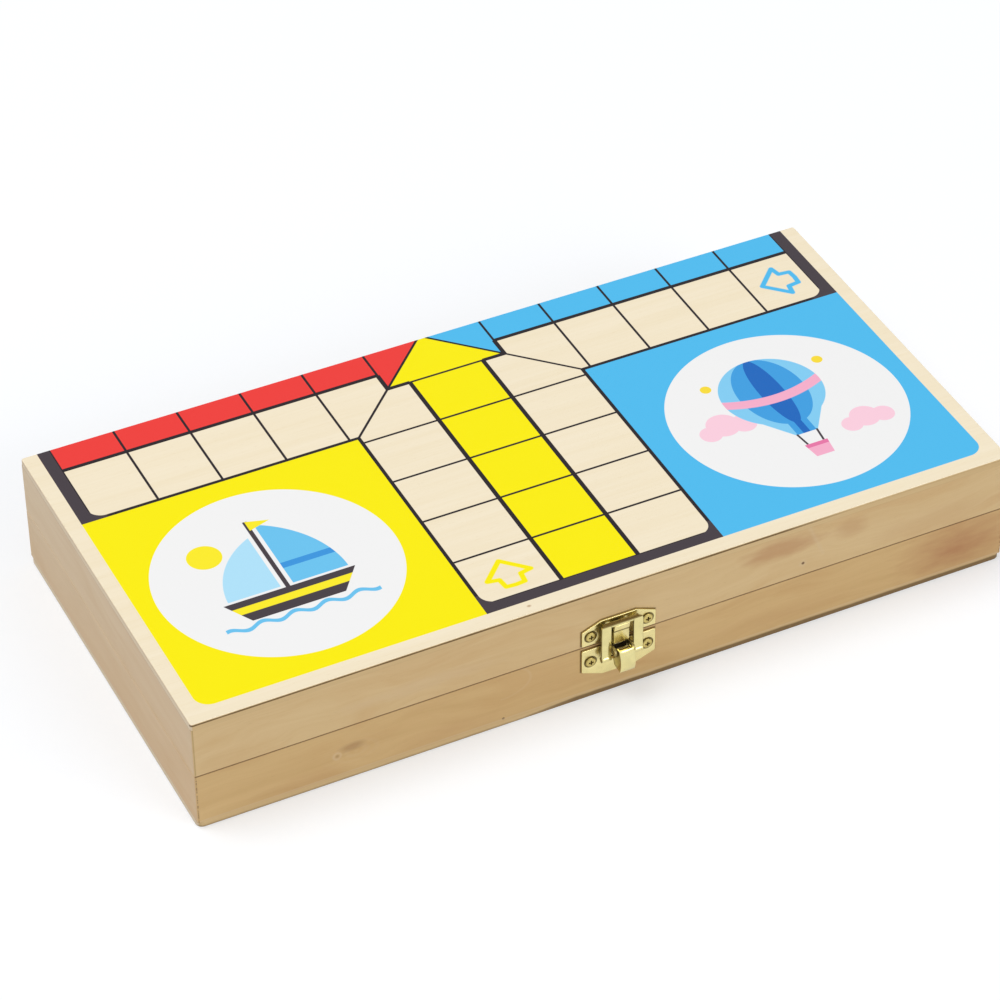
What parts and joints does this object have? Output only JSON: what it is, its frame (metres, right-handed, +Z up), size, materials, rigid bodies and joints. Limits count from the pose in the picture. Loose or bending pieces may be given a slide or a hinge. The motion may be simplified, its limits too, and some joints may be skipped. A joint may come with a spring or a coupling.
{
  "type": "folding ludo board box",
  "caption": "Folding wooden game box: hinged trays whose outer faces form a ludo board, held shut by a toggle catch, with pawns and a die kept inside.",
  "frame": {"origin": "middle of the closed box's underside, the face it rests on", "axes": "+Z up out of the lid's printed face, +X to the right along the hinge line, front with the catch towards -Y"},
  "size_m": [0.3, 0.1585, 0.045],
  "materials": {
    "printed_sheet": "thin pale plywood, printed in bright flat colours and clear coated",
    "wall_wood": "smooth sanded light wood, satin",
    "hinge_brass": "bright brass plate",
    "catch_brass": "polished brass plate",
    "screw_brass": "brass plated steel",
    "red_paint": "turned wood, gloss lacquer",
    "yellow_paint": "turned wood, gloss lacquer",
    "green_paint": "turned wood, gloss lacquer",
    "blue_paint": "turned wood, gloss lacquer",
    "die_white": "white with dark pips"
  },
  "bodies": {
    "base": {"base_sheet": "printed_sheet", "base_front_wall": "wall_wood", "base_back_wall": "wall_wood", "base_left_wall": "wall_wood", "base_right_wall": "wall_wood", "hinge_left_base_leaf": "hinge_brass", "hinge_right_base_leaf": "hinge_brass", "hinge_left_pin": "hinge_brass", "hinge_right_pin": "hinge_brass", "base_hinge_screws": "screw_brass", "catch_body_plate": "catch_brass", "catch_body_screws": "screw_brass", "catch_lever_pin": "catch_brass", "pawns_red": "red_paint", "pawns_yellow": "yellow_paint", "pawns_green": "green_paint", "pawns_blue": "blue_paint", "die": "die_white"},
    "lid": {"lid_sheet": "printed_sheet", "lid_front_wall": "wall_wood", "lid_back_wall": "wall_wood", "lid_left_wall": "wall_wood", "lid_right_wall": "wall_wood", "hinge_left_lid_leaf": "hinge_brass", "hinge_right_lid_leaf": "hinge_brass", "lid_hinge_screws": "screw_brass", "catch_keeper": "catch_brass", "catch_keeper_screws": "screw_brass"},
    "lever": {"catch_lever": "catch_brass", "catch_loop_pin": "catch_brass"},
    "loop": {"catch_loop": "catch_brass"}
  },
  "joints": [
    {"name": "lid_hinge", "type": "hinge", "parent": "base", "child": "lid", "pos_m": [0, 0.0747, 0.0225], "axis": [-1, 0, 0], "range_deg": [0, 180]},
    {"name": "lever_swing", "type": "hinge", "parent": "base", "child": "lever", "pos_m": [0.0012, -0.0789, 0.0201], "axis": [-1, 0, 0], "range_deg": [0, 130]},
    {"name": "loop_swing", "type": "hinge", "parent": "lever", "child": "loop", "pos_m": [0.0012, -0.0773, 0.0173], "axis": [-1, 0, 0], "range_deg": [-188.5, 0]}
  ],
  "couplings": [
    {"joint": "loop_swing", "follows": "lever_swing", "ratio": -1.45}
  ]
}
